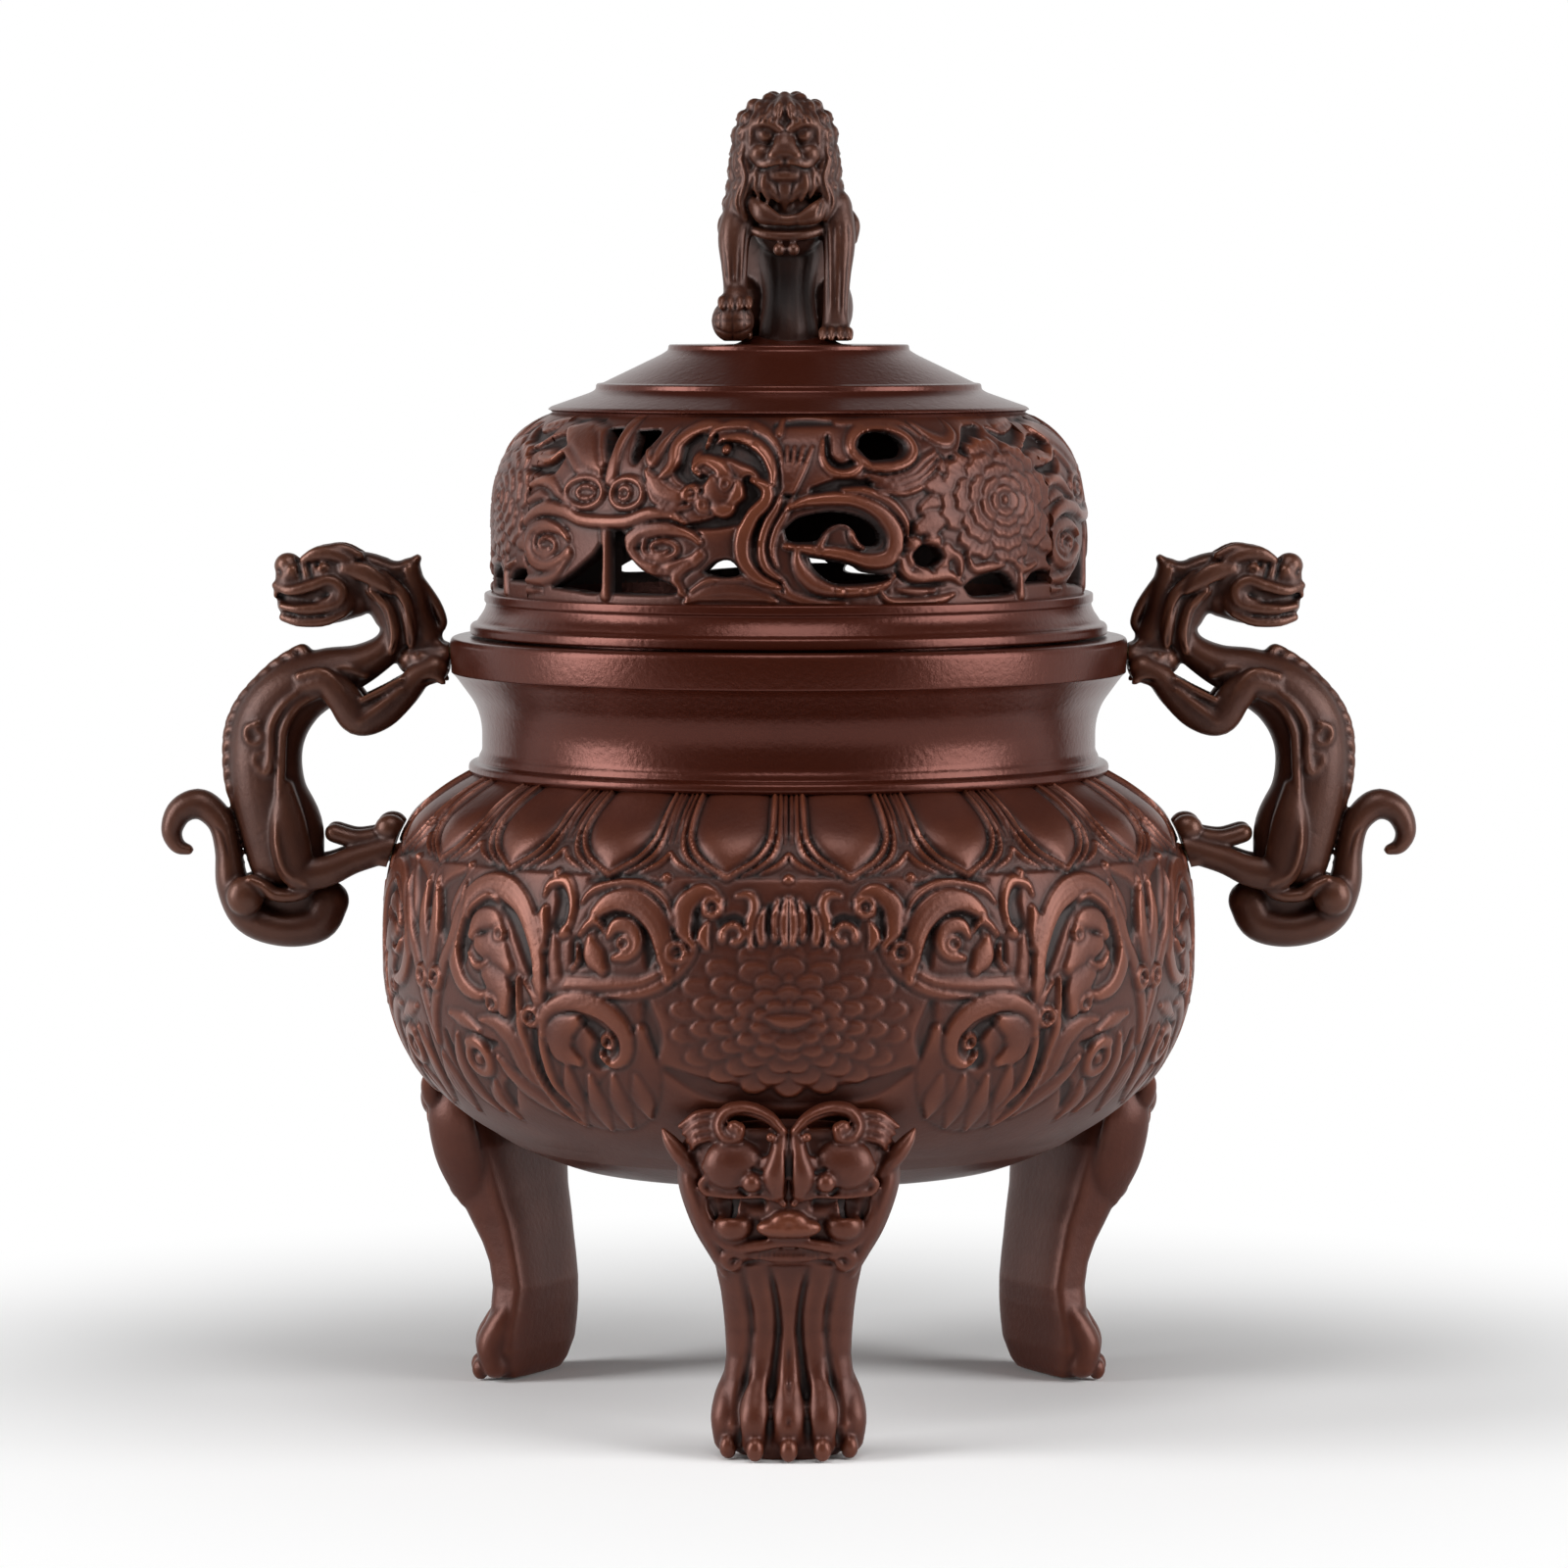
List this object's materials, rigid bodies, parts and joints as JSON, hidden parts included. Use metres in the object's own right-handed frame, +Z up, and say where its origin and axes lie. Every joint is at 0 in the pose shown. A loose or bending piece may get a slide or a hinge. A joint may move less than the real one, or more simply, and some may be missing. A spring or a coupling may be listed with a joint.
{
  "type": "tripod censer",
  "caption": "Round lidded incense burner in cast bronze on beast-mask legs, with dragon handles, a pierced lid that lifts off and a seated lion knob.",
  "frame": {"origin": "on the ground under the axis of the bowl, at the middle of the whole object's box", "axes": "+Z up along the bowl's axis, -Y to the front leg, +X to the right-hand handle"},
  "size_m": [0.309, 0.2002, 0.3221],
  "materials": {
    "bronze": "satin red-brown patina",
    "dark_bronze": "satin dark brown patina",
    "fastener": "plain turned brass"
  },
  "bodies": {
    "vessel": {"bowl": "bronze", "leg_front": "bronze", "leg_back_left": "bronze", "leg_back_right": "bronze", "leg_screw_front": "fastener", "leg_screw_back_left": "fastener", "leg_screw_back_right": "fastener", "handle_left": "dark_bronze", "handle_right": "dark_bronze", "handle_rim_screw_left": "fastener", "handle_rim_screw_right": "fastener", "handle_paw_screw_left": "fastener", "handle_paw_screw_right": "fastener"},
    "lid": {"lid": "bronze", "lion_finial": "dark_bronze", "finial_screw": "fastener", "finial_washer": "fastener"}
  },
  "joints": [
    {"name": "lid_lift", "type": "slide", "parent": "vessel", "child": "lid", "axis": [0, 0, 1], "range_m": [0, 0.08]}
  ]
}
